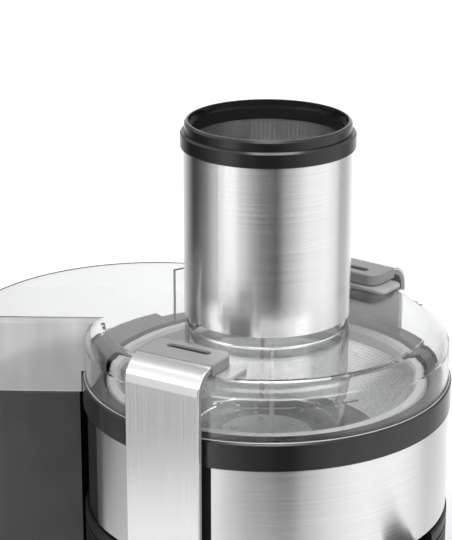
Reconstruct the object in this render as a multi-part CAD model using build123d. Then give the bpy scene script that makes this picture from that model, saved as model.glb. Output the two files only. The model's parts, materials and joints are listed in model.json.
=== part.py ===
"""Centrifugal juicer, as an assembly of separate pieces.

Frame: millimetres, +Z up. The origin is on the machine's axis, on the table under the rubber foot
ring. +X points to the juice spout, -X to the pulp container, -Y to the front with the speed dial.
Angles around the axis, called `phi`, start at the front (-Y) and grow towards the spout (+X).
"""
from build123d import *
from math import cos, radians, sin
import os

# ---------------------------------------------------------------- driving dimensions
Z_SKIRT = 30.0            # top of the black base skirt
Z_HOUSING = 160.0         # top of the motor housing
Z_DECK = 186.0            # top of the ribbed deck ring
Z_BAND = 188.4            # lower edge of the bowl's steel band
Z_RIM_LOW = 243.8         # lower edge of the bowl's black rim
Z_RIM = 258.0             # top of the bowl's rim, where the lid sits
Z_PLATE = 287.0           # top of the lid's plate
Z_SLEEVE = 292.5          # lower edge of the feed tube's steel sleeve
Z_COLLAR = 380.4          # lower edge of the black collar
Z_CHUTE_LOW = 246.4       # lower edge of the lid's pulp chute
Z_CONTAINER = 245.4       # top of the pulp container

R_BODY = 96.0             # steel faces of the housing and the bowl
R_RIM = 96.5              # black rim and deck
R_LID = 95.0              # outside of the lid's wall
LID_WALL = 2.4
R_HUG = 98.3              # the container's inner side, around the body
CONTAINER_WALL = 2.6
R_SHAFT = 4.0
RUN = 0.05                # radial clearance of a running fit

R_TUBE = 41.7             # clear feed tube, outside
R_TUBE_IN = 39.0
R_SLEEVE = 43.0
R_MOUTH = 38.5            # the collar's bore, the narrowest part of the feed tube

CLIP_FRONT = 4.5          # where the two clips stand
CLIP_REAR = 178.5
CHANNEL = 13.9            # half angle of the black channel behind a clip
CLIP_W = 42.0             # width of the steel strap
CLIP_R = 101.4            # outer face of the strap, from the axis
CLIP_T = 1.5
ARM_T = 2.2
CLIP_TOP = 294.4          # top of the strap
CLIP_BEND = 12.0
PIVOT_R = 95.2            # clip pivot, from the axis
PIVOT_Z = 148.0
R_PIN = 2.5
R_KNUCKLE = 4.5
POCKET = (27.4, 136.2, 159.2, 84.0)   # half width, bottom, top and inner depth of a clip pocket

CHUTE_CENTRE = (-44.5, -41.0)
CHUTE_R = 101.0
CHUTE_CORNER = 18.0
NEAR_WALL_ANGLE = 34.0    # direction of the chute's straight wall
NEAR_WALL_OFF = 4.0       # its distance from the axis

SPOUT_Z = 175.0
R_SPOUT = 9.8
R_SPOUT_IN = 7.5
X_SPOUT_END = 122.0
DIAL_Z = 88.0
GLAND_Z = 40.0
INLET_HALF = 16.0         # half width of the plate around the cable inlet
INLET_TOP = 56.0
SCREW_X, SCREW_Y = 37.0, 32.0         # the motor's four tie bolts


# ---------------------------------------------------------------- helpers
def turned(profile, phi=(0.0, 360.0)):
    """Revolve a closed (radius, height) outline about the axis, between two angles."""
    face = make_face(Polyline(*[(r, 0, z) for r, z in profile], close=True))
    return Rot(0, 0, phi[0] - 90) * revolve(face, Axis.Z, revolution_arc=phi[1] - phi[0])


def ring(r_out, r_in, z0, z1, phi=(0.0, 360.0)):
    return turned([(r_in, z0), (r_out, z0), (r_out, z1), (r_in, z1)], phi)


def rod(radius, z0, z1, x=0.0, y=0.0):
    return Pos(x, y, (z0 + z1) / 2) * Cylinder(radius, z1 - z0)


def block(x0, x1, y0, y1, z0, z1):
    return Pos((x0 + x1) / 2, (y0 + y1) / 2, (z0 + z1) / 2) * Box(x1 - x0, y1 - y0, z1 - z0)


def rod_x(radius, x0, x1, y, z):
    return Pos((x0 + x1) / 2, y, z) * Rot(0, 90, 0) * Cylinder(radius, x1 - x0)


def rod_y(radius, y0, y1, x, z):
    return Pos(x, (y0 + y1) / 2, z) * Rot(90, 0, 0) * Cylinder(radius, y1 - y0)


def around(phi):
    """Turn a piece built at the front so that it sits at the angle phi."""
    return Rot(0, 0, phi)


def slab(face, z0, z1):
    return Pos(0, 0, z0) * extrude(face, z1 - z0)


def group(pieces):
    """Separate solids that are one kind of part, such as a set of screws."""
    return Compound(children=[p for p in pieces])


def edges_at(shape, z):
    return shape.edges().filter_by_position(Axis.Z, z - 0.01, z + 0.01)


# ---------------------------------------------------------------- motor base
def foot_ring():
    return ring(78, 66, 0, 4)


def base_plate():
    plate = rod(93, 4, 7.5)
    for x in (-SCREW_X, SCREW_X):
        for y in (-SCREW_Y, SCREW_Y):
            plate += rod(6, 7.5, 24, x, y) - rod(2, 12, 24, x, y)
    vent = slab(SlotOverall(30, 5), 3, 8)
    for k in range(8):
        plate -= Rot(0, 0, 45 * k + 22.5) * Pos(44, 0, 0) * vent
    for k in range(4):
        plate -= around(45 + 90 * k) * (rod(1.8, 3, 8, 0, -86) + rod(3.4, 3.9, 5.8, 0, -86))
    return plate


def base_screws():
    one = rod(1.8, 5.8, 20, 0, -86) + rod(3.4, 4.3, 5.8, 0, -86)
    return group([around(45 + 90 * k) * one for k in range(4)])


def base_skirt():
    return turned([(93, 2), (96.9, 2), (97.5, 3), (97.0, Z_SKIRT - 1), (96.4, Z_SKIRT), (93, Z_SKIRT)])


def pocket_cut():
    half, z0, z1, inner = POCKET
    return block(-half, half, -110, -inner, z0, z1)


def inlet_cut(play=0.0):
    half = INLET_HALF + play
    return block(-half, half, 60, 110, Z_SKIRT - 1, INLET_TOP + play)


def inlet_plate():
    """Curved plate low on the back that the cable comes in through."""
    plate = ring(R_BODY, 92.4, Z_SKIRT, INLET_TOP) & inlet_cut()
    return plate - rod_y(7, 80, 110, 0, GLAND_Z)


def housing_shell():
    shell = ring(95, 92.4, Z_SKIRT, Z_HOUSING)
    for k in range(4):
        post = rod(4.5, 7.5, 40, 0, -86) - rod(1.8, 7, 20, 0, -86)
        web = block(-1.5, 1.5, -93.4, -90, Z_SKIRT + 0.5, 40)
        shell += around(45 + 90 * k) * (post + web)
    for phi in (CLIP_FRONT, CLIP_REAR):
        shell -= around(phi) * pocket_cut()
    shell -= rod_y(5.2, -110, -80, 0, DIAL_Z)
    return shell - inlet_cut(0.1)


def housing_wrap():
    wrap = ring(R_BODY, 95, Z_SKIRT, Z_HOUSING - 2)
    for phi in (CLIP_FRONT, CLIP_REAR):
        wrap -= around(phi) * pocket_cut()
    wrap -= rod_y(5.2, -110, -80, 0, DIAL_Z)
    return wrap - inlet_cut(0.1)


def top_deck():
    """Lid of the motor housing: a plate, a ribbed ring around it and a chimney for the shaft."""
    outer = [(R_RIM, Z_HOUSING)]
    z = Z_HOUSING + 5
    while z < Z_DECK - 5:
        outer += [(R_RIM, z), (R_RIM - 1.4, z + 0.5), (R_RIM - 1.4, z + 1.5), (R_RIM, z + 2.0)]
        z += 4.2
    outer += [(R_RIM, Z_DECK - 1), (R_RIM - 1, Z_DECK), (92.6, Z_DECK), (92.6, Z_HOUSING)]
    deck = turned(outer) + rod(92.7, Z_HOUSING, 163.5) + ring(76, 70, 163.4, 165)
    deck += rod(15.2, 163.4, 193)
    deck -= rod(11, Z_HOUSING - 1, 194)
    return deck - block(90, 99, -12, 12, 163.5, Z_DECK + 1)


def dial_bezel():
    disc = rod_y(29, -100, -84, 0, DIAL_Z)
    disc = fillet(disc.edges().sort_by(Axis.Y)[0], 1.5)
    disc -= rod(R_BODY, DIAL_Z - 35, DIAL_Z + 35)
    return disc - rod_y(5.2, -101, -84, 0, DIAL_Z)


def rotary_switch():
    body = block(-11, 11, -88, -66, DIAL_Z - 11, DIAL_Z + 11)
    bush = rod_y(5.1, -99, -88, 0, DIAL_Z)
    return body + bush - rod_y(3 + RUN, -100, -70, 0, DIAL_Z)


def control_board():
    board = block(-30, 30, -66, -64.4, DIAL_Z - 18, DIAL_Z + 18)
    return board + block(-26, -16, -64.4, -52, 94, 104) + rod_y(5, -64.4, -50, 20, 96)


def safety_switches():
    body = block(-10, 10, -POCKET[3], -76, 140, 150)
    return group([around(CLIP_FRONT) * body, around(CLIP_REAR) * body])


def cable_gland():
    flange = rod_y(10, 88, 99, 0, GLAND_Z) - rod(R_BODY, 0, 80)
    relief = Pos(0, 105.5, GLAND_Z) * Rot(-90, 0, 0) * Cone(6.4, 4.8, 13)
    return flange + rod_y(7, 86, 99, 0, GLAND_Z) + relief - rod_y(3.6, 80, 115, 0, GLAND_Z)


# ---------------------------------------------------------------- motor
def motor_stator():
    yoke = slab(RectangleRounded(88, 80, 12), 58, 108) - rod(32, 57, 109)
    for side in (0, 180):
        shoe = ring(27, 23, 58, 108, (35, 145)) + block(26, 33, -12, 12, 58, 108)
        yoke += Rot(0, 0, side) * shoe
    for x in (-SCREW_X, SCREW_X):
        for y in (-SCREW_Y, SCREW_Y):
            yoke -= rod(2, 57, 109, x, y)
    return yoke


def field_coils():
    coil = ring(31.5, 27.3, 52, 114, (35, 145)) - block(20, 40, -12.3, 12.3, 57.6, 108.4)
    return group([Rot(0, 0, side) * coil for side in (0, 180)])


def bracket(z_plate, z_post, hub_z, r_hole):
    """End frame of the motor: a plate with a bearing hub and four posts down to the stator."""
    plate = slab(RectangleRounded(88, 80, 12), *z_plate)
    plate += rod(15, *hub_z)
    for x in (-SCREW_X, SCREW_X):
        for y in (-SCREW_Y, SCREW_Y):
            plate += rod(5, *z_post, x, y)
    for x in (-SCREW_X, SCREW_X):
        for y in (-SCREW_Y, SCREW_Y):
            plate -= rod(2, 20, 140, x, y)
    for k in range(4):
        plate -= Rot(0, 0, 90 * k) * rod(8, z_plate[0] - 1, z_plate[1] + 1, 26, 0)
    return plate - rod(r_hole, 20, 140)


def motor_bracket_lower():
    return bracket((34, 38), (38, 58), (34, 43), 11)


def motor_bracket_upper():
    return bracket((118, 122), (108, 118), (116, 124), 11)


def lower_bearing():
    return ring(11, R_SHAFT + RUN, 35.5, 42.5)


def upper_bearing():
    return ring(11, R_SHAFT + RUN, 116.5, 123.5)


def brush_holders():
    holder = block(-6, 6, 12.5, 22, 43.5, 53.5) + block(-6, 6, 16, 22, 38, 43.5)
    holder -= block(-3.4, 3.4, 12, 23, 45.5, 51.5)
    return group([holder, Rot(0, 0, 180) * holder])


def carbon_brushes():
    brush = block(-3.4, 3.4, 11.2, 21, 45.5, 51.5)
    return group([brush, Rot(0, 0, 180) * brush])


def tie_bolts():
    bolts = []
    for x in (-SCREW_X, SCREW_X):
        for y in (-SCREW_Y, SCREW_Y):
            bolts.append(rod(2, 14, 122, x, y) + rod(3.6, 122, 125, x, y))
    return group(bolts)


def rubber_dampers():
    pads = []
    for x in (-SCREW_X, SCREW_X):
        for y in (-SCREW_Y, SCREW_Y):
            pads.append(rod(8, 24, 34, x, y) - rod(2, 23, 35, x, y))
    return group(pads)


# ---------------------------------------------------------------- spinning set
def motor_shaft():
    return rod(R_SHAFT, 30, 208)


def armature():
    core = rod(22.3, 60, 106) - rod(R_SHAFT, 59, 107)
    slot = block(18.5, 23, -1.2, 1.2, 59, 107)
    for k in range(12):
        core -= Rot(0, 0, 30 * k) * slot
    return core


def armature_winding():
    top = turned([(R_SHAFT, 106), (18, 106), (19, 109), (16, 113), (R_SHAFT, 113)])
    low = turned([(R_SHAFT, 60), (18, 60), (19, 57), (15, 54.5), (R_SHAFT, 54.5)])
    return group([top, low])


def commutator():
    return ring(11, R_SHAFT, 44.5, 54.5)


def cooling_fan():
    fan = ring(38, 12, 127, 128.5) + ring(12, R_SHAFT, 127, 139)
    blade = block(11.5, 37, -0.8, 0.8, 128.4, 138)
    for k in range(12):
        fan += Rot(0, 0, 30 * k) * blade
    return fan


def shaft_seal():
    return ring(11, R_SHAFT + RUN, 186, 193)


def drive_coupling():
    core = ring(9.5, R_SHAFT, 194.5, 209)
    for k in range(6):
        core += Rot(0, 0, 60 * k) * block(9, 11.3, -1.6, 1.6, 194.5, 209)
    return core


def basket_hub():
    return turned([(0, 210), (11.6, 210), (11.6, 198), (14.4, 198), (14.4, 212), (19.4, 212),
                   (19.4, 190), (21.6, 190), (21.6, 216), (25, 218.5), (25, 220.5), (0, 220.5)])


def grater_disc():
    return rod(60.5, 220.5, 222)


def hub_plate():
    return rod(25, 222, 223)


def hub_rivets():
    rivet = rod(1.5, 223, 223.8, 18.5, 0)
    return group([Rot(0, 0, 60 * k + 15) * rivet for k in range(6)])


def filter_screen():
    return turned([(60.5, 220.5), (61.3, 220.5), (79.8, 250), (79.0, 250)])


def basket_frame():
    """Moulded ring under the screen, with ribs up its outside."""
    frame = ring(64.5, 57, 217.5, 220.5)
    rib = make_face(Polyline((61.4, 0, 220.5), (64.5, 0, 220.5), (82.8, 0, 250), (79.9, 0, 250),
                             close=True))
    rib = extrude(rib, 1.0, both=True)
    for k in range(8):
        frame += Rot(0, 0, 45 * k) * rib
    return frame


def basket_rim():
    return turned([(77.3, 250), (84, 250), (84, 255.8), (82.8, 257), (79, 257), (77.3, 255.4)])


# ---------------------------------------------------------------- bowl
def bowl_shell():
    bowl = turned([(16, 165), (88, 165), (88, 185.6), (92, 187.0), (94.3, 187.0), (94.3, Z_RIM_LOW),
                   (91.8, Z_RIM_LOW), (91.8, 189.5), (85.5, 187.6), (85.5, 167.5), (18.5, 167.5),
                   (18.5, 201), (16, 201)])
    return bowl - rod_x(R_SPOUT_IN, 80, 95, 0, SPOUT_Z)


def bowl_band(phi0, phi1):
    return ring(95.7, 94.3, Z_BAND, Z_RIM_LOW, (phi0, phi1))


def bowl_rim():
    """Glossy rim with a flange under the lid and a lip that carries the pulp outwards."""
    rim = turned([(91.8, Z_RIM_LOW), (R_RIM, Z_RIM_LOW), (R_RIM, Z_RIM - 0.7), (R_RIM - 0.7, Z_RIM),
                  (85.6, Z_RIM), (85.6, Z_RIM - 2.5), (91.8, Z_RIM - 2.5)])
    lip = ring(103, 95.5, Z_RIM - 2.5, Z_RIM - 0.3, (-108, -58))
    return rim + lip


def juice_spout():
    tube = rod_x(R_SPOUT, 84, X_SPOUT_END, 0, SPOUT_Z) - rod(88, 160, 190)
    return tube - rod_x(R_SPOUT_IN, 80, X_SPOUT_END + 1, 0, SPOUT_Z)


def spout_nozzle():
    """Elbow that turns on the spout: outlet down to pour, up to stop the drips."""
    r_cup = 12.2
    cup = rod_x(r_cup, 110, 135.5, 0, SPOUT_Z)
    cup = fillet(cup.edges().sort_by(Axis.X)[-1], 8.0)
    outlet = rod(8.7, 148, SPOUT_Z, 126.5, 0)
    elbow = cup + outlet
    inner = rod_x(R_SPOUT + RUN, 109, X_SPOUT_END + 0.4, 0, SPOUT_Z)
    inner += rod_x(7.2, 120, 130.5, 0, SPOUT_Z) + rod(7.0, 147, SPOUT_Z, 126.5, 0)
    return elbow - inner


# ---------------------------------------------------------------- lid and feed tube
def chute_plan(inset, r_cut=0.0):
    """Plan of the pulp chute: a round back, a straight near wall and a rounded corner."""
    disc = Pos(*CHUTE_CENTRE) * Circle(CHUTE_R - inset)
    side = Rot(0, 0, NEAR_WALL_ANGLE) * Pos(0, 150 - NEAR_WALL_OFF + inset) * Rectangle(600, 300)
    plan = disc & side
    corner = plan.vertices().sort_by(Axis.X)[0]
    plan = fillet(corner, CHUTE_CORNER - inset)
    if r_cut:
        plan = plan - Circle(r_cut)
    return plan


def lid():
    bowl = rod(R_LID, Z_RIM, Z_PLATE)
    bowl = fillet(edges_at(bowl, Z_PLATE), 11)
    roof = slab(chute_plan(0), Z_RIM, Z_PLATE)
    roof = fillet(edges_at(roof, Z_PLATE), 3)
    shape = bowl + roof + slab(chute_plan(0, R_RIM + 0.8), Z_CHUTE_LOW, Z_RIM)
    cavity = rod(R_LID - LID_WALL, Z_RIM - 1, Z_PLATE - LID_WALL)
    cavity = fillet(edges_at(cavity, Z_PLATE - LID_WALL), 8.6)
    cavity += slab(chute_plan(LID_WALL), Z_CHUTE_LOW - 1, Z_PLATE - LID_WALL)
    shape -= cavity
    guide = ring(R_LID, R_LID - LID_WALL, Z_RIM, Z_PLATE - LID_WALL + 0.2, (-127, -112))
    shape += guide
    pad_plan = RectangleRounded(58, 21, 4)
    for phi in (CLIP_FRONT, CLIP_REAR):
        pad = around(phi) * Pos(0, -76.5, 0) * slab(pad_plan, Z_PLATE - 2, Z_PLATE + 2.2)
        shape += pad & rod(85.5, Z_PLATE - 3, Z_PLATE + 3)
    return shape - rod(R_TUBE, Z_RIM, Z_PLATE + 1)


def feed_tube():
    tube = ring(R_TUBE, R_TUBE_IN, 226, 384)
    for phi in (38, 130, 218, 310):
        tube += around(phi) * block(-1.1, 1.1, -R_TUBE - 1.0, -R_TUBE + 0.5, 227, Z_PLATE - 3)
    return tube


def tube_sleeve():
    return ring(R_SLEEVE, R_TUBE, Z_SLEEVE, 384)


def feed_collar():
    z = Z_COLLAR
    profile = [(R_MOUTH, 384), (R_SLEEVE, 384), (R_SLEEVE, z), (44.4, z), (44.6, z + 0.4), (44.6, z + 7),
               (43.6, z + 8), (42.5, z + 8), (42.5, z + 12.2), (41.5, z + 13.4), (40.6, z + 13.4),
               (40.6, z + 9.6), (R_MOUTH, z + 9.6)]
    collar = turned(profile)
    for phi in (-20, 88, 160, 268):
        collar += around(phi) * block(-2.6, 2.6, -41.0, -R_MOUTH - 0.2, z + 9.6, z + 12.4)
    return collar


# ---------------------------------------------------------------- clips
def side_sweep(points, width):
    """Extrude a (outwards, up) outline across the clip, which faces the front."""
    face = make_face(Polyline(*[(0, -r, z) for r, z in points], close=True))
    return extrude(face, width / 2, both=True)


def bend(r_face, z_top, radius, steps=10):
    """Quarter bend from an upright face to a flat top, as points."""
    pts = []
    for k in range(steps + 1):
        a = radians(90.0 * k / steps)
        pts.append((r_face - radius + radius * cos(a), z_top - radius + radius * sin(a)))
    return pts


def clip_strap():
    """Brushed steel cover plate, bent over the top of the arm."""
    outer = bend(CLIP_R, CLIP_TOP, CLIP_BEND)
    inner = bend(CLIP_R - CLIP_T, CLIP_TOP - CLIP_T, CLIP_BEND - CLIP_T)
    outline = [(CLIP_R, PIVOT_Z - 2)] + outer + [(88.6, CLIP_TOP), (88.6, CLIP_TOP - CLIP_T)]
    outline += inner[::-1] + [(CLIP_R - CLIP_T, PIVOT_Z - 2)]
    return side_sweep(outline, CLIP_W)


def clip_arm():
    """Grey arm with the lip that presses on the lid, and a knuckle for the pivot pin."""
    r_face = CLIP_R - CLIP_T
    z_top = CLIP_TOP - CLIP_T
    outer = bend(r_face, z_top, CLIP_BEND - CLIP_T)
    inner = bend(r_face - ARM_T, z_top - ARM_T, CLIP_BEND - CLIP_T - ARM_T)
    outline = [(r_face, PIVOT_Z)] + outer + [(88.0, z_top), (88.0, z_top - ARM_T)]
    outline += inner[::-1] + [(r_face - ARM_T, PIVOT_Z)]
    arm = side_sweep(outline, CLIP_W - 1)
    lip_plan = Pos(0, -78.75) * Rectangle(CLIP_W + 1, 19.5)
    lip_plan = fillet(lip_plan.vertices().group_by(Axis.Y)[-1], 6)
    lip = slab(lip_plan, Z_PLATE + 2.5, CLIP_TOP + 0.8)
    lip = chamfer(edges_at(lip, CLIP_TOP + 0.8), 0.5)
    lip -= Pos(0, -76.0, 0) * slab(SlotOverall(25, 4.4), CLIP_TOP - 0.6, CLIP_TOP + 1)
    arm += lip
    knuckle = rod_x(R_KNUCKLE, -CLIP_W / 2, CLIP_W / 2, -PIVOT_R, PIVOT_Z)
    web = block(-CLIP_W / 2 + 0.5, CLIP_W / 2 - 0.5, -r_face, -PIVOT_R, PIVOT_Z - 1, PIVOT_Z + 3.5)
    return arm + knuckle + web - rod_x(R_PIN + RUN, -30, 30, -PIVOT_R, PIVOT_Z)


def clip_bracket():
    """Pocket in the housing that carries the pivot pin between its side walls."""
    half, z0, z1, inner = POCKET
    box = block(-half, half, -110, -inner, z0, z1) & rod(R_BODY + 0.3, z0 - 1, z1 + 1)
    box -= block(-CLIP_W / 2 - 1.4, CLIP_W / 2 + 1.4, -110, -inner - 2, z0 + 2.4, z1 - 1.8)
    return box - rod_x(R_PIN, -30, 30, -PIVOT_R, PIVOT_Z)


def clip_pin():
    reach = 26.4
    return rod_x(R_PIN, -reach, reach, -PIVOT_R, PIVOT_Z)


# ---------------------------------------------------------------- speed dial
def dial_shaft():
    return rod_y(3, -112, -72, 0, DIAL_Z)


def dial_knob():
    knob = rod_y(20, -110, -100.6, 0, DIAL_Z)
    knob = fillet(knob.edges().sort_by(Axis.Y)[0], 2)
    grip = block(-4.5, 4.5, -117, -108, DIAL_Z - 19, DIAL_Z + 19)
    grip = fillet(grip.edges().filter_by(Axis.Z), 1.5)
    grip &= rod_y(19.2, -118, -100, 0, DIAL_Z)
    return knob + grip - rod_y(3, -112, -100, 0, DIAL_Z) - block(-0.9, 0.9, -118, -116.2, 98, 106)


def dial_pointer():
    return block(-0.9, 0.9, -117.2, -116.2, 98, 106)


# ---------------------------------------------------------------- pulp container
def pulp_container():
    outer = slab(chute_plan(0, R_HUG), 0, Z_CONTAINER)
    inside = slab(chute_plan(CONTAINER_WALL, R_HUG + CONTAINER_WALL), 3, Z_CONTAINER + 1)
    return outer - inside


PARTS = {
    "foot_ring": foot_ring,
    "base_plate": base_plate,
    "base_screws": base_screws,
    "base_skirt": base_skirt,
    "housing_shell": housing_shell,
    "housing_wrap": housing_wrap,
    "inlet_plate": inlet_plate,
    "top_deck": top_deck,
    "dial_bezel": dial_bezel,
    "rotary_switch": rotary_switch,
    "control_board": control_board,
    "safety_switches": safety_switches,
    "cable_gland": cable_gland,
    "motor_stator": motor_stator,
    "field_coils": field_coils,
    "motor_bracket_lower": motor_bracket_lower,
    "motor_bracket_upper": motor_bracket_upper,
    "lower_bearing": lower_bearing,
    "upper_bearing": upper_bearing,
    "brush_holders": brush_holders,
    "carbon_brushes": carbon_brushes,
    "tie_bolts": tie_bolts,
    "rubber_dampers": rubber_dampers,
    "motor_shaft": motor_shaft,
    "armature": armature,
    "armature_winding": armature_winding,
    "commutator": commutator,
    "cooling_fan": cooling_fan,
    "shaft_seal": shaft_seal,
    "drive_coupling": drive_coupling,
    "basket_hub": basket_hub,
    "grater_disc": grater_disc,
    "hub_plate": hub_plate,
    "hub_rivets": hub_rivets,
    "filter_screen": filter_screen,
    "basket_frame": basket_frame,
    "basket_rim": basket_rim,
    "bowl_shell": bowl_shell,
    "bowl_band_spout": lambda: bowl_band(CLIP_FRONT + CHANNEL, CLIP_REAR - CHANNEL),
    "bowl_band_front": lambda: bowl_band(-30, CLIP_FRONT - CHANNEL),
    "bowl_band_rear": lambda: bowl_band(CLIP_REAR + CHANNEL, 210),
    "bowl_rim": bowl_rim,
    "juice_spout": juice_spout,
    "spout_nozzle": spout_nozzle,
    "lid": lid,
    "feed_tube": feed_tube,
    "tube_sleeve": tube_sleeve,
    "feed_collar": feed_collar,
    "clip_front_strap": lambda: around(CLIP_FRONT) * clip_strap(),
    "clip_front_arm": lambda: around(CLIP_FRONT) * clip_arm(),
    "clip_front_bracket": lambda: around(CLIP_FRONT) * clip_bracket(),
    "clip_front_pin": lambda: around(CLIP_FRONT) * clip_pin(),
    "clip_rear_strap": lambda: around(CLIP_REAR) * clip_strap(),
    "clip_rear_arm": lambda: around(CLIP_REAR) * clip_arm(),
    "clip_rear_bracket": lambda: around(CLIP_REAR) * clip_bracket(),
    "clip_rear_pin": lambda: around(CLIP_REAR) * clip_pin(),
    "dial_shaft": dial_shaft,
    "dial_knob": dial_knob,
    "dial_pointer": dial_pointer,
    "pulp_container": pulp_container,
}

os.makedirs("parts", exist_ok=True)
for name, make in PARTS.items():
    export_step(make(), f"parts/{name}.step")
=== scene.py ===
"""Looks of the centrifugal juicer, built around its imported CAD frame.

Units are metres, in the row frame: +X spout, -X pulp container, -Y front with the dial, +Z up.
Angles around the axis, called phi, start at the front (-Y) and grow towards the spout (+X).
"""
import bpy
import bmesh
import json
from math import cos, hypot, pi, radians, sin
from mathutils import Matrix, Vector


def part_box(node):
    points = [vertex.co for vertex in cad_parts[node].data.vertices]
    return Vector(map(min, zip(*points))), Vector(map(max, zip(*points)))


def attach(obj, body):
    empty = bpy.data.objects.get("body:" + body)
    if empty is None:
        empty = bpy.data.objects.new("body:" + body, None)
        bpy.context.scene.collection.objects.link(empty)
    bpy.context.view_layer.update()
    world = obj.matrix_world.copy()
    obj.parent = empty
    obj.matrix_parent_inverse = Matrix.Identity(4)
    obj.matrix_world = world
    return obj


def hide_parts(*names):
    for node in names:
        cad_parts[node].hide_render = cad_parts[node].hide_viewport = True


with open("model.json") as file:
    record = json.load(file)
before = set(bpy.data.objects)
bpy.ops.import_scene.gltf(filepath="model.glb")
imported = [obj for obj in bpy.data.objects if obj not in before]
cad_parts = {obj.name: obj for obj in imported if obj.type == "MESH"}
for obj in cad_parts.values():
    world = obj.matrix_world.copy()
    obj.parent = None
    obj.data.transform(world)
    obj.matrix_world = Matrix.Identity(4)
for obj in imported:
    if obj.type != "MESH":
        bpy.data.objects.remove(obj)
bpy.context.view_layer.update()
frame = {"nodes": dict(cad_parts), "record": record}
NODES = frame["nodes"]
MM = 0.001

# ---------------------------------------------------------------- driving values
VIEW_PHI = radians(34.5)            # the camera stands at this angle from the front
VIEW_DISTANCE = 0.9764              # from the axis, along the floor
VIEW_HEIGHT = 0.6495
VIEW_PITCH = radians(18.99)
VIEW_YAW = radians(1.25)            # turned a little past the axis, to the left
VIEW_LENS = 133.4                   # millimetres, on a sensor whose long side is VIEW_SENSOR
VIEW_SENSOR = 36.0

CLIP_FRONT = radians(4.5)           # where the two clips stand around the axis
CLIP_REAR = radians(178.5)
WHITE = (1.0, 1.0, 1.0, 1.0)


# ---------------------------------------------------------------- shader helpers
NOISE_SPAN = (0.3, 0.7)             # most of a noise texture's values lie between these


class ShaderTree:
    """A shader's node tree, with short calls to add its nodes and connect them."""

    def __init__(self, tree):
        self.tree = tree

    def node(self, kind, **inputs):
        made = self.tree.nodes.new("ShaderNode" + kind)
        for socket, value in inputs.items():
            made.inputs[socket].default_value = value
        return made

    def link(self, source, target):
        self.tree.links.new(source, target)

    def remap(self, source, start, end, low=0.0, high=1.0):
        """The source's values from start to end, spread over low to high."""
        spread = self.node("MapRange")
        for socket, value in (("From Min", start), ("From Max", end), ("To Min", low), ("To Max", high)):
            spread.inputs[socket].default_value = value
        self.link(source, spread.inputs["Value"])
        return spread.outputs["Result"]

    def mix(self, factor, a, b):
        """A blend of two colours, each of which is a node's output or a fixed RGBA value."""
        made = self.node("Mix")
        made.data_type = "RGBA"
        for socket, value in (("Factor", factor), ("A", a), ("B", b)):
            if isinstance(value, tuple):
                made.inputs[socket].default_value = value
            else:
                self.link(value, made.inputs[socket])
        return made.outputs["Result"]


class Finish(ShaderTree):
    """A material with one Principled shader, and short calls for the procedural detail on it."""

    def __init__(self, name, color, roughness, **sockets):
        self.material = bpy.data.materials.new(name)
        self.material.use_nodes = True
        super().__init__(self.material.node_tree)
        self.shader = self.tree.nodes["Principled BSDF"]
        self.set("Base Color", (*color, 1.0))
        self.set("Roughness", roughness)
        for socket, value in sockets.items():
            self.set(socket.replace("_", " "), value)

    def set(self, socket, value):
        self.shader.inputs[socket].default_value = value

    def noise(self, scale, detail=2.0, turn=0.0):
        """Noise whose scale is set for each axis, in features per metre, after a turn about Z."""
        coordinates = self.node("TexCoord")
        mapping = self.node("Mapping", Rotation=(0.0, 0.0, turn))
        spread = self.node("Mapping", Scale=scale)
        texture = self.node("TexNoise", Scale=1.0, Detail=detail, Roughness=0.6)
        self.link(coordinates.outputs["Object"], mapping.inputs["Vector"])
        self.link(mapping.outputs["Vector"], spread.inputs["Vector"])
        self.link(spread.outputs["Vector"], texture.inputs["Vector"])
        return texture.outputs["Fac"]

    def color_between(self, noise, dark, light):
        share = self.remap(noise, *NOISE_SPAN)
        self.link(self.mix(share, (*dark, 1.0), (*light, 1.0)), self.shader.inputs["Base Color"])

    def roughness_between(self, noise, low, high):
        self.link(self.remap(noise, *NOISE_SPAN, low, high), self.shader.inputs["Roughness"])

    def bump(self, source, depth, strength=1.0):
        bump = self.node("Bump", Strength=strength, Distance=depth, Height=0.0)
        self.link(source, bump.inputs["Height"])
        self.link(bump.outputs["Normal"], self.shader.inputs["Normal"])

    def grooves_run_across(self, direction):
        """Brushing whose grooves run across this direction, so that highlights stretch along it."""
        vector = self.node("CombineXYZ")
        for socket, value in zip("XYZ", direction):
            vector.inputs[socket].default_value = value
        self.link(vector.outputs["Vector"], self.shader.inputs["Tangent"])


def grey(value):
    return (value, value, value)


def scaled(color, share):
    return tuple(min(1.0, channel * share) for channel in color)


# ---------------------------------------------------------------- finishes
def moulded(name, color, roughness, grain=1400.0, depth=0.00004, spread=0.12, **sockets):
    """Moulded plastic or rubber: a fine surface grain and a slow change of sheen."""
    finish = Finish(name, color, roughness, **sockets)
    fine = finish.noise((grain,) * 3, 3.0)
    slow = finish.noise((28.0,) * 3, 2.0)
    finish.color_between(slow, scaled(color, 1 - spread), scaled(color, 1 + spread))
    finish.roughness_between(slow, roughness * 0.88, roughness * 1.12)
    finish.bump(fine, depth)
    return finish.material


def brushed(name, tone, roughness, across, scale, turn=0.0):
    """Brushed steel: short grooves in colour, roughness and relief, with stretched highlights."""
    finish = Finish(name, grey(tone), roughness, Metallic=1.0, Anisotropic=0.94)
    grooves = finish.noise(scale, 4.0, turn)
    finish.color_between(grooves, scaled(grey(tone), 0.93), scaled(grey(tone), 1.05))
    finish.roughness_between(grooves, roughness * 0.88, roughness * 1.12)
    finish.bump(grooves, 0.000004, 0.6)
    finish.grooves_run_across(across)
    return finish.material


def strap_steel(name, phi):
    """Brushed along the strap, which is bent over a horizontal line at this angle."""
    across = (cos(phi), sin(phi), 0.0)
    return brushed(name, 0.84, 0.22, across, (3200.0, 20.0, 20.0), -phi)


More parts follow.
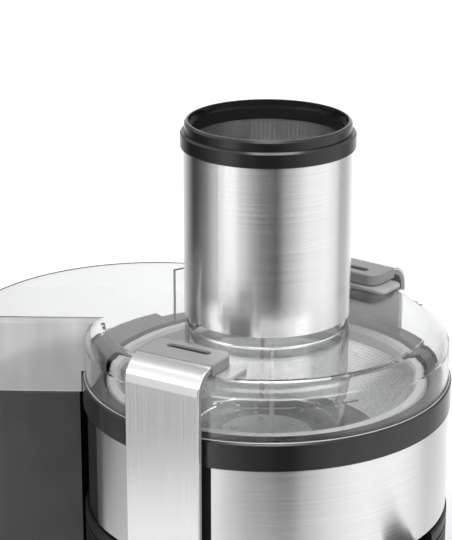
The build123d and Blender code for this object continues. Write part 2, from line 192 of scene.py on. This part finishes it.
def machined(name, color, roughness, grain=900.0):
    """Turned, cast or ground metal: a fine, even grain."""
    finish = Finish(name, color, roughness, Metallic=1.0)
    fine = finish.noise((grain,) * 3, 2.0)
    finish.color_between(fine, scaled(color, 0.85), scaled(color, 1.1))
    finish.roughness_between(fine, roughness * 0.8, roughness * 1.25)
    finish.bump(fine, 0.00002)
    return finish.material


def clear_plastic():
    """Clear plastic whose moulded faces are slightly wavy."""
    finish = Finish("clear_plastic", (0.985, 0.99, 0.99), 0.015, IOR=1.49, Transmission_Weight=1.0)
    finish.bump(finish.noise((35.0,) * 3, 1.0), 0.00025, 0.25)
    return finish.material


def hazed_plastic():
    """The clear plastic where the mould was textured: it lets light through without a view."""
    finish = Finish("hazed_plastic", grey(0.97), 0.22, IOR=1.49, Transmission_Weight=0.5)
    cloud = finish.noise((40.0, 40.0, 9.0), 2.0)
    finish.color_between(cloud, grey(0.60), grey(0.84))
    finish.bump(finish.noise((900.0,) * 3), 0.00002)
    return finish.material


def basket_plastic():
    """Milky white plastic that lets a little light through."""
    finish = Finish("basket_plastic", (0.93, 0.935, 0.935), 0.3, IOR=1.5, Transmission_Weight=0.25)
    slow = finish.noise((30.0,) * 3)
    finish.color_between(slow, grey(0.88), grey(0.95))
    finish.bump(finish.noise((1200.0,) * 3), 0.00003)
    return finish.material


def punched_steel():
    """The grater disc: dull pressed steel, a little darker where the press has worked it."""
    finish = Finish("punched_steel", grey(0.42), 0.38, Metallic=1.0)
    worn = finish.noise((160.0,) * 3, 3.0)
    finish.color_between(worn, grey(0.30), grey(0.46))
    finish.roughness_between(worn, 0.3, 0.45)
    finish.bump(worn, 0.00005)
    return finish.material


def laminated_iron():
    """A motor's stack of thin iron sheets."""
    finish = Finish("motor_iron", (0.2, 0.2, 0.21), 0.5, Metallic=0.8)
    sheets = finish.noise((4.0, 4.0, 2000.0), 1.0)
    finish.color_between(sheets, grey(0.12), grey(0.28))
    finish.bump(sheets, 0.0001)
    return finish.material


def wound_copper():
    """Copper wire in layers, or the bars of a commutator."""
    finish = Finish("copper", (0.72, 0.35, 0.16), 0.3, Metallic=0.9)
    wires = finish.noise((60.0, 60.0, 1500.0), 1.0)
    finish.color_between(wires, (0.5, 0.2, 0.08), (0.82, 0.42, 0.2))
    finish.bump(wires, 0.0002)
    return finish.material


# One finish for each material slot of the record.
FINISHES = {
    "rubber": moulded("rubber", grey(0.03), 0.75, 1800.0, 0.00008),
    "black_matte": moulded("black_matte", (0.03, 0.03, 0.032), 0.5, 1600.0, 0.00005),
    "black_satin": moulded("black_satin", (0.012, 0.012, 0.013), 0.36, 1600.0, 0.00004,
                            Specular_IOR_Level=0.22),
    "black_gloss": moulded("black_gloss", (0.013, 0.013, 0.014), 0.14, 60.0, 0.00003),
    "container_plastic": moulded("container_plastic", grey(0.05), 0.42, 1500.0, 0.00005,
                                  Specular_IOR_Level=0.35),
    "inner_plastic": moulded("inner_plastic", grey(0.12), 0.5),
    "circuit_board": moulded("circuit_board", (0.03, 0.18, 0.08), 0.35),
    "brushed_steel": brushed("brushed_steel", 0.86, 0.21, (0.0, 0.0, 1.0), (20.0, 20.0, 3200.0)),
    "strap_steel": strap_steel("strap_steel", CLIP_FRONT),
    "mesh_steel": machined("mesh_steel", (0.86, 0.86, 0.87), 0.42, 300.0),
    "bearing_steel": machined("bearing_steel", grey(0.7), 0.18),
    "screw_steel": machined("screw_steel", grey(0.6), 0.28),
    "motor_iron": laminated_iron(),
    "cast_metal": machined("cast_metal", grey(0.6), 0.45, 500.0),
    "copper": wound_copper(),
    "carbon": moulded("carbon", grey(0.05), 0.6),
    "clear_plastic": clear_plastic(),
    "basket_plastic": basket_plastic(),
    "grey_plastic": moulded("grey_plastic", grey(0.245), 0.36, 1700.0, 0.00003, 0.06),
    "pointer_white": moulded("pointer_white", grey(0.85), 0.3),
}
HAZED = hazed_plastic()
PUNCHED = punched_steel()


def paint(piece, material):
    piece.data.materials.clear()
    piece.data.materials.append(material)


def paint_cad():
    """Every CAD node gets the finish of its slot in the record."""
    for part in frame["record"]["subparts"]:
        paint(NODES[part["node"]], FINISHES[part["material_slot"]])
    paint(NODES["grater_disc"], PUNCHED)


# Nodes whose edges a mould or a press leaves round, with the width of each bevel in millimetres.
SOFT_EDGES = {
    "spout_nozzle": 1.2, "juice_spout": 0.5, "dial_knob": 0.6, "dial_bezel": 0.5, "top_deck": 0.25,
    "pulp_container": 0.6, "bowl_rim": 0.5, "feed_collar": 0.35, "basket_rim": 0.4, "base_skirt": 0.4,
    "clip_front_arm": 0.4, "clip_rear_arm": 0.4, "inlet_plate": 0.3, "cable_gland": 0.5,
    "housing_wrap": 0.15, "bowl_band_spout": 0.15, "bowl_band_front": 0.15, "bowl_band_rear": 0.15,
}


def soften_edges():
    """Bevels for the CAD nodes, whose meshes have knife-sharp edges."""
    for name, width in SOFT_EDGES.items():
        bevel = NODES[name].modifiers.new("soft_edges", "BEVEL")
        bevel.width = width * MM
        bevel.segments = 3
        bevel.limit_method = "ANGLE"
        bevel.angle_limit = radians(40)
        bevel.harden_normals = True


# ---------------------------------------------------------------- camera, floor and light
def make_camera():
    camera = bpy.data.objects.new("camera", bpy.data.cameras.new("camera"))
    bpy.context.scene.collection.objects.link(camera)
    camera.data.lens = VIEW_LENS
    camera.data.sensor_width = VIEW_SENSOR
    camera.location = (VIEW_DISTANCE * sin(VIEW_PHI), -VIEW_DISTANCE * cos(VIEW_PHI), VIEW_HEIGHT)
    camera.rotation_euler = (pi / 2 - VIEW_PITCH, 0.0, VIEW_PHI + VIEW_YAW)
    bpy.context.scene.camera = camera


FLOOR_RADIUS = 0.6
FLOOR_FADE = (0.3, 0.58)            # from where the floor begins to fade to where it is gone
FLOOR_DROP = 0.0002                 # keeps the floor clear of the foot's underside


def make_floor():
    """A pale round floor that fades into the white background."""
    mesh = bpy.data.meshes.new("floor")
    shape = bmesh.new()
    bmesh.ops.create_circle(shape, cap_ends=True, radius=FLOOR_RADIUS, segments=96)
    shape.to_mesh(mesh)
    shape.free()
    floor = bpy.data.objects.new("floor", mesh)
    floor.location.z = -FLOOR_DROP
    bpy.context.scene.collection.objects.link(floor)
    finish = Finish("floor", grey(0.62), 0.6)
    coordinates = finish.node("TexCoord")
    length = finish.node("VectorMath")
    length.operation = "LENGTH"
    finish.link(coordinates.outputs["Object"], length.inputs[0])
    fade = finish.remap(length.outputs["Value"], *FLOOR_FADE, 1.0, 0.0)
    finish.link(fade, finish.shader.inputs["Alpha"])
    paint(floor, finish.material)


# How bright the studio is around the object, by the angle to the right of the camera in degrees.
# The first ring is what the feed tube reflects, the second what the bowl below it does, and the third
# is the light from above them. The boxes are softboxes over part of a ring, from 0 for off to 1 for full.
UPPER_RING = [
    (-180, 0.96), (-150, 0.52), (-122, 0.01), (-104, 0.02), (-92, 0.08), (-74, 0.40), (-57, 1.00),
    (-46, 0.88), (-35, 0.25), (-20, 0.13), (-8, 0.02), (12, 0.02), (20, 0.15), (38, 0.36),
    (55, 0.72), (85, 0.90), (104, 0.74), (116, 0.38), (130, 0.42), (150, 0.75), (170, 0.96),
]
LOWER_RING = [
    (-180, 0.96), (-150, 0.52), (-119, 0.20), (-105, 0.46), (-85, 0.17), (-56, 0.15), (-46, 0.90),
    (-34, 1.30), (-26, 0.80), (-12, 0.38), (0, 0.20), (9, 0.02), (17, 0.03), (23, 0.36),
    (40, 0.82), (66, 1.00), (95, 0.88), (119, 0.62), (140, 0.74), (170, 0.96),
]
HIGH_RING = [
    (-180, 0.45), (-130, 0.55), (-100, 0.85), (-60, 0.95), (0, 0.55), (60, 0.95), (120, 0.7), (170, 0.46),
]
LOW_LEFT_BOX = [(-105, 0.0), (-85, 1.0), (-48, 1.0), (-38, 0.0)]
KEY_BOX = [(-95, 0.0), (-80, 1.0), (50, 1.0), (70, 0.0)]
KEY_LIGHT = (4.0, 4.0, 4.0, 1.0)
TOP_BOX = [(-60, 0.0), (-35, 1.0), (90, 1.0), (115, 0.0)]
TOP_LIGHT = (6.0, 6.0, 6.0, 1.0)
STUDIO_STRENGTH = 1.2

# Where each of them begins and is full, as the sine of the angle above the horizon.
LOWER_RING_HEIGHT = (-0.34, -0.40)
LOW_LEFT_HEIGHT = (-0.41, -0.435)
HIGH_RING_HEIGHT = (0.22, 0.42)
KEY_BOTTOM, KEY_TOP = (0.28, 0.34), (0.51, 0.46)
TOP_BOX_EDGE, TOP_BOX_CENTRE = (0.88, 0.92), (0.985, 0.96)


class Studio(ShaderTree):
    """The world shader: soft boxes around the object, and plain white for the camera itself."""

    def __init__(self):
        world = bpy.data.worlds.new("studio")
        world.use_nodes = True
        bpy.context.scene.world = world
        super().__init__(world.node_tree)

    def ring(self, around, stops):
        """Brightness by the angle around the object, from 0 at the back through 0.5 at the camera to 1."""
        ramp = self.node("ValToRGB")
        elements = ramp.color_ramp.elements
        while len(elements) < len(stops):
            elements.new(0.5)
        for element, (angle, value) in zip(elements, stops):
            element.position = angle / 360.0 + 0.5
            element.color = (*grey(value), 1.0)
        self.link(around, ramp.inputs["Fac"])
        return ramp.outputs["Color"]

    def math(self, operation, *values):
        made = self.node("Math")
        made.operation = operation
        for socket, value in zip(made.inputs, values):
            if isinstance(value, (int, float)):
                socket.default_value = value
            else:
                self.link(value, socket)
        return made.outputs["Value"]

    def product(self, first, *others):
        for other in others:
            first = self.math("MULTIPLY", first, other)
        return first


def make_studio():
    """The rings and boxes, one over the other, turned so that their angles start at the camera."""
    studio = Studio()
    direction = studio.node("TexCoord")
    turned = studio.node("VectorRotate", Angle=-VIEW_PHI)
    turned.rotation_type = "Z_AXIS"
    parts = studio.node("SeparateXYZ")
    studio.link(direction.outputs["Generated"], turned.inputs["Vector"])
    studio.link(turned.outputs["Vector"], parts.inputs["Vector"])
    x, y, z = (parts.outputs[axis] for axis in "XYZ")
    angle = studio.math("ARCTAN2", x, studio.math("MULTIPLY", y, -1.0))
    around = studio.math("MULTIPLY_ADD", angle, 1 / (2 * pi), 0.5)
    light = studio.mix(studio.remap(z, *LOWER_RING_HEIGHT), studio.ring(around, UPPER_RING),
                       studio.ring(around, LOWER_RING))
    low_left = studio.product(studio.remap(z, *LOW_LEFT_HEIGHT), studio.ring(around, LOW_LEFT_BOX))
    light = studio.mix(low_left, light, WHITE)
    light = studio.mix(studio.remap(z, *HIGH_RING_HEIGHT), light, studio.ring(around, HIGH_RING))
    key = studio.product(studio.remap(z, *KEY_BOTTOM), studio.remap(z, *KEY_TOP),
                         studio.ring(around, KEY_BOX))
    light = studio.mix(key, light, KEY_LIGHT)
    top = studio.product(studio.remap(z, *TOP_BOX_EDGE), studio.remap(z, *TOP_BOX_CENTRE),
                         studio.ring(around, TOP_BOX))
    light = studio.mix(top, light, TOP_LIGHT)
    seen = studio.node("LightPath").outputs["Is Camera Ray"]
    background = studio.tree.nodes["Background"]
    background.inputs["Strength"].default_value = STUDIO_STRENGTH
    studio.link(studio.mix(seen, light, WHITE), background.inputs["Color"])
    bpy.context.scene.view_settings.view_transform = "Standard"


# ---------------------------------------------------------------- mesh helpers
def add_piece(name, shape, body, material, smooth_angle=radians(35)):
    """A new mesh piece from a bmesh, riding on a body. Edges sharper than smooth_angle stay sharp."""
    mesh = bpy.data.meshes.new(name)
    bmesh.ops.recalc_face_normals(shape, faces=shape.faces)
    shape.to_mesh(mesh)
    shape.free()
    piece = bpy.data.objects.new(name, mesh)
    bpy.context.scene.collection.objects.link(piece)
    mesh.shade_smooth()
    mesh.set_sharp_from_angle(angle=smooth_angle)
    piece.modifiers.new("even_shading", "WEIGHTED_NORMAL").keep_sharp = True
    paint(piece, material)
    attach(piece, body)
    return piece


def rounded_plan(length, width, radius, steps=6):
    """Outline of a rounded rectangle about the origin."""
    corners = [(1, 1, 0), (-1, 1, 1), (-1, -1, 2), (1, -1, 3)]
    plan = []
    for side_x, side_y, quarter in corners:
        for k in range(steps + 1):
            angle = (quarter + k / steps) * pi / 2
            plan.append((side_x * (length / 2 - radius) + radius * cos(angle),
                         side_y * (width / 2 - radius) + radius * sin(angle)))
    return plan


def join_rows(shape, rows):
    """Faces between each closed row of vertices and the next, and an end face at either end."""
    for lower, upper in zip(rows, rows[1:]):
        for k in range(len(lower)):
            n = (k + 1) % len(lower)
            shape.faces.new((lower[k], lower[n], upper[n], upper[k]))
    shape.faces.new(rows[0][::-1])
    shape.faces.new(rows[-1])


def add_slab(shape, plan, low, high, matrix, soften):
    """A flat plate of a plan, with its upper edge softened, placed by a matrix."""
    levels = [(low, 0.0), (high - soften, 0.0)]
    for k in range(1, 5):
        angle = k * pi / 8
        levels.append((high - soften + soften * sin(angle), soften * (1 - cos(angle))))
    centre_x = sum(x for x, y in plan) / len(plan)
    centre_y = sum(y for x, y in plan) / len(plan)
    reach = max(hypot(x - centre_x, y - centre_y) for x, y in plan)
    rows = []
    for height, inset in levels:
        keep = 1 - inset / reach
        rows.append([shape.verts.new(matrix @ Vector((centre_x + (x - centre_x) * keep,
                                                      centre_y + (y - centre_y) * keep, height)))
                     for x, y in plan])
    join_rows(shape, rows)


def at_phi(phi):
    """Turns a piece built at the front so that it sits at the angle phi."""
    return Matrix.Rotation(phi, 4, "Z")


# ---------------------------------------------------------------- the clear lid
LID_TOP = 287.0 * MM
R_TUBE = 41.7 * MM
TUBE_PLAY = 0.12 * MM
R_LID = 95.0 * MM
NEAR_WALL_TURN = radians(34.0)
NEAR_WALL_PLACE = -4.0 * MM         # outer face, from the axis, across the wall
NEAR_WALL_EDGE = 3.0 * MM           # how far the rounded edge above the wall reaches in
TINY = 0.1 * MM                     # play for telling faces and vertices apart

PAD_LENGTH, PAD_WIDTH, PAD_CORNER = 58.0 * MM, 19.0 * MM, 4.0 * MM
PAD_RADIUS = 76.0 * MM              # from the axis to the middle of a pad
PAD_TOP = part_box("lid")[1].z - 0.4 * MM

# A thin whitish bead along the lid's lower edge on the rim: a painted highlight for that edge.
BEAD_RADIUS, BEAD_THICKNESS = 95.4 * MM, 0.32 * MM
BEAD_Z = 258.3 * MM
BEAD_START, BEAD_END = radians(-52.0), radians(197.0)
BEAD_STEPS, BEAD_SIDES = 240, 8


def add_clear(name, node, mesh):
    """A clear piece that stands for a CAD node, with a second material for its hazed faces."""
    piece = bpy.data.objects.new(name, mesh)
    bpy.context.scene.collection.objects.link(piece)
    paint(piece, FINISHES["clear_plastic"])
    mesh.materials.append(HAZED)
    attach(piece, "base")
    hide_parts(node)


def clear_tube():
    """The feed tube, with its four outer ribs hazed."""
    mesh = NODES["feed_tube"].data.copy()
    add_clear("feed_tube_clear", "feed_tube", mesh)
    for face in mesh.polygons:
        if hypot(face.center.x, face.center.y) > R_TUBE + 2 * TINY:
            face.material_index = 1


def clear_lid():
    """The CAD lid with play around the feed tube, flat under its pads, and a hazed near wall."""
    mesh = NODES["lid"].data.copy()
    for vertex in mesh.vertices:
        radius = hypot(vertex.co.x, vertex.co.y)
        if abs(radius - R_TUBE) < 0.2 * TINY:
            vertex.co.x *= 1 + TUBE_PLAY / radius
            vertex.co.y *= 1 + TUBE_PLAY / radius
        if vertex.co.z > LID_TOP + 0.1 * TINY:
            vertex.co.z = LID_TOP + 0.2 * TINY
    add_clear("lid_clear", "lid", mesh)
    for face in mesh.polygons:
        centre = face.center
        across = centre.y * cos(NEAR_WALL_TURN) - centre.x * sin(NEAR_WALL_TURN) - NEAR_WALL_PLACE
        level = abs(face.normal.z) > 0.97
        beyond_bowl = hypot(centre.x, centre.y) > R_LID
        if beyond_bowl and not level and -TINY < across < NEAR_WALL_EDGE + TINY:
            face.material_index = 1


def lid_pads():
    """Frosted pads that the clips press on."""
    plan = rounded_plan(PAD_LENGTH, PAD_WIDTH, PAD_CORNER)
    for name, phi in (("lid_pad_front", CLIP_FRONT), ("lid_pad_rear", CLIP_REAR)):
        shape = bmesh.new()
        place = at_phi(phi) @ Matrix.Translation((0.0, -PAD_RADIUS, 0.0))
        add_slab(shape, plan, LID_TOP + 0.5 * TINY, PAD_TOP, place, 0.8 * MM)
        add_piece(name, shape, "base", HAZED)


def rim_highlight_bead():
    """A thin whitish bead along the lid's lower edge on the rim, a painted highlight for that edge, from
    one side of the chute round to the other.
    """
    shape = bmesh.new()
    rows = []
    for step in range(BEAD_STEPS + 1):
        place = at_phi(BEAD_START + (BEAD_END - BEAD_START) * step / BEAD_STEPS)
        row = []
        for k in range(BEAD_SIDES):
            angle = 2 * pi * k / BEAD_SIDES
            outward, upward = BEAD_THICKNESS * cos(angle), BEAD_THICKNESS * sin(angle)
            row.append(shape.verts.new(place @ Vector((0.0, -BEAD_RADIUS - outward, BEAD_Z + upward))))
        rows.append(row)
    join_rows(shape, rows)
    add_piece("rim_highlight_bead", shape, "base", HAZED)


# ---------------------------------------------------------------- the strap clips
STRAP_WIDTH, STRAP_THICKNESS = 42.0 * MM, 1.5 * MM
STRAP_RADIUS = 101.4 * MM           # outer face, from the axis
STRAP_BEND = 12.0 * MM
STRAP_BOTTOM, STRAP_TOP = 146.0 * MM, 294.4 * MM
STRAP_END = 88.6 * MM               # how near the strap comes to the axis over the lid
BEND_STEPS = 32
SLOT_LENGTH, SLOT_WIDTH, SLOT_CORNER = 24.6 * MM, 4.2 * MM, 2.05 * MM
SLOT_RADIUS = 76.0 * MM
# A dark plate inside each grip slot, between these heights: painted shade for the recess.
SLOT_SHADE_BOTTOM = STRAP_TOP - 0.65 * MM
SLOT_SHADE_TOP = STRAP_TOP - 0.2 * MM


def sweep(shape, path, section, place):
    """Loft a closed (across, outward) section along a path of (point, outward direction)."""
    rows = []
    for centre, outward in path:
        rows.append([shape.verts.new(place @ (centre + Vector((across, 0, 0)) + outward * out))
                     for across, out in section])
    join_rows(shape, rows)


def strap_path():
    """The strap's centre line at the front: up, round the bend and inwards over the lid."""
    middle = STRAP_RADIUS - STRAP_THICKNESS / 2
    top = STRAP_TOP - STRAP_THICKNESS / 2
    radius = STRAP_BEND - STRAP_THICKNESS / 2
    path = [(Vector((0, -middle, STRAP_BOTTOM)), Vector((0, -1, 0)))]
    for k in range(BEND_STEPS + 1):
        angle = pi / 2 * k / BEND_STEPS
        outward = Vector((0, -cos(angle), sin(angle)))
        path.append((Vector((0, radius - middle, top - radius)) + outward * radius, outward))
    path.append((Vector((0, -STRAP_END, top)), Vector((0, 0, 1))))
    return path


def strap_clips():
    """Smoothly bent steel straps with rounded edges, and a dark plate in the grip slot of each lip,
    painted shade for the recess.
    """
    section = rounded_plan(STRAP_WIDTH, STRAP_THICKNESS, 0.5 * MM, 4)
    slot_plan = rounded_plan(SLOT_LENGTH, SLOT_WIDTH, SLOT_CORNER, 8)
    for side, phi, steel in (("front", CLIP_FRONT, FINISHES["strap_steel"]),
                             ("rear", CLIP_REAR, strap_steel("strap_steel_rear", CLIP_REAR))):
        body = "clip_" + side
        shape = bmesh.new()
        sweep(shape, strap_path(), section, at_phi(phi))
        strap = add_piece(f"strap_{side}", shape, body, steel)
        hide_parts(f"clip_{side}_strap")
        # A dark plate in the grip slot: painted shade for the recess.
        shape = bmesh.new()
        place = at_phi(phi) @ Matrix.Translation((0.0, -SLOT_RADIUS, 0.0))
        add_slab(shape, slot_plan, SLOT_SHADE_BOTTOM, SLOT_SHADE_TOP, place, 0.2 * MM)
        add_piece(f"clip_slot_shade_{side}", shape, body, FINISHES["black_satin"])


# ---------------------------------------------------------------- the grating basket
SCREEN_FOOT = (60.9 * MM, 221.0 * MM)       # radius and height at the bottom
SCREEN_HEAD = (79.4 * MM, 250.0 * MM)
SCREEN_ROWS = 22
SCREEN_HOLES = 300                  # around each row
HOLE_SHARE = 0.28                   # a hole's side, as a share of its cell's
GRATER_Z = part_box("grater_disc")[1].z
TOOTH_ROWS = [(30.0 + 6.0 * n, 20 + 4 * n) for n in range(5)]    # radius in mm, and number of teeth
TOOTH_HALF, TOOTH_LENGTH, TOOTH_HEIGHT = 0.9 * MM, 2.2 * MM, 1.0 * MM
TOOTH_LEAN, TOOTH_ROOT = 0.3 * MM, 0.05 * MM


def filter_mesh():
    """The filter screen as a thin cone with an etched hole in every cell."""
    shape = bmesh.new()

    def point(row, column):
        share = row / SCREEN_ROWS
        radius = SCREEN_FOOT[0] + (SCREEN_HEAD[0] - SCREEN_FOOT[0]) * share
        height = SCREEN_FOOT[1] + (SCREEN_HEAD[1] - SCREEN_FOOT[1]) * share
        angle = 2 * pi * column / SCREEN_HOLES
        return Vector((radius * sin(angle), -radius * cos(angle), height))

    corners = [[shape.verts.new(point(row, column)) for column in range(SCREEN_HOLES)]
               for row in range(SCREEN_ROWS + 1)]
    half = HOLE_SHARE / 2
    for row in range(SCREEN_ROWS):
        lower, upper = corners[row], corners[row + 1]
        for column in range(SCREEN_HOLES):
            after = (column + 1) % SCREEN_HOLES
            cell = (lower[column], lower[after], upper[after], upper[column])
            hole = [shape.verts.new(point(row + 0.5 + up * half, column + 0.5 + along * half))
                    for up, along in ((-1, -1), (-1, 1), (1, 1), (1, -1))]
            for k in range(4):
                n = (k + 1) % 4
                shape.faces.new((cell[k], cell[n], hole[n], hole[k]))
    screen = add_piece("filter_mesh", shape, "basket", FINISHES["mesh_steel"])
    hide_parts("filter_screen")


def grater_teeth():
    """Rows of small raised teeth, each with a steep edge and a long slope behind it."""
    shape = bmesh.new()
    foot = ((0, -TOOTH_HALF, 0), (0, TOOTH_HALF, 0), (TOOTH_LENGTH, 0, 0))
    for row, (radius, count) in enumerate(TOOTH_ROWS):
        stagger = 0.5 if row % 2 == 0 else 0.0
        for k in range(count):
            turn = Matrix.Rotation(2 * pi * (k + stagger) / count, 4, "Z")
            place = turn @ Matrix.Translation((0.0, -radius * MM, GRATER_Z - TOOTH_ROOT))
            base = [shape.verts.new(place @ Vector(corner)) for corner in foot]
            tip = shape.verts.new(place @ Vector((-TOOTH_LEAN, 0, TOOTH_HEIGHT)))
            shape.faces.new(base)
            for a in range(3):
                shape.faces.new((base[a], base[(a + 1) % 3], tip))
    add_piece("grater_teeth", shape, "basket", PUNCHED, radians(10))


# ---------------------------------------------------------------- the speed dial
DIAL_Z = 88.0 * MM
DIAL_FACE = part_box("dial_bezel")[0].y
MARK_START, MARK_WIDTH, MARK_HEIGHT, MARK_ROOT = 22.4 * MM, 1.0 * MM, 0.25 * MM, 0.05 * MM
MARKS = {-45: 2.0, 0: 4.4, 22.5: 2.0, 45: 2.6, 67.5: 3.4, 90: 4.4}   # degrees from the top: length in mm


def dial_marks():
    """Raised marks on the bezel: pulse on the left, off at the top, and growing speeds to the right."""
    shape = bmesh.new()
    for angle, length in MARKS.items():
        length *= MM
        plan = rounded_plan(MARK_WIDTH, length, 0.45 * MM, 4)
        place = Matrix.Translation((0.0, DIAL_FACE, DIAL_Z)) @ Matrix.Rotation(radians(angle), 4, "Y")
        place = place @ Matrix.Translation((0.0, 0.0, MARK_START + length / 2))
        place = place @ Matrix.Rotation(pi / 2, 4, "X")
        add_slab(shape, plan, -MARK_ROOT, MARK_HEIGHT, place, 0.1 * MM)
    add_piece("dial_marks", shape, "base", FINISHES["pointer_white"])


# ---------------------------------------------------------------- the scene
paint_cad()
soften_edges()
clear_lid()
clear_tube()
lid_pads()
# The whitish bead on the rim is a painted highlight along the lid's lower edge.
rim_highlight_bead()
strap_clips()
filter_mesh()
grater_teeth()
dial_marks()
make_camera()
make_floor()
make_studio()
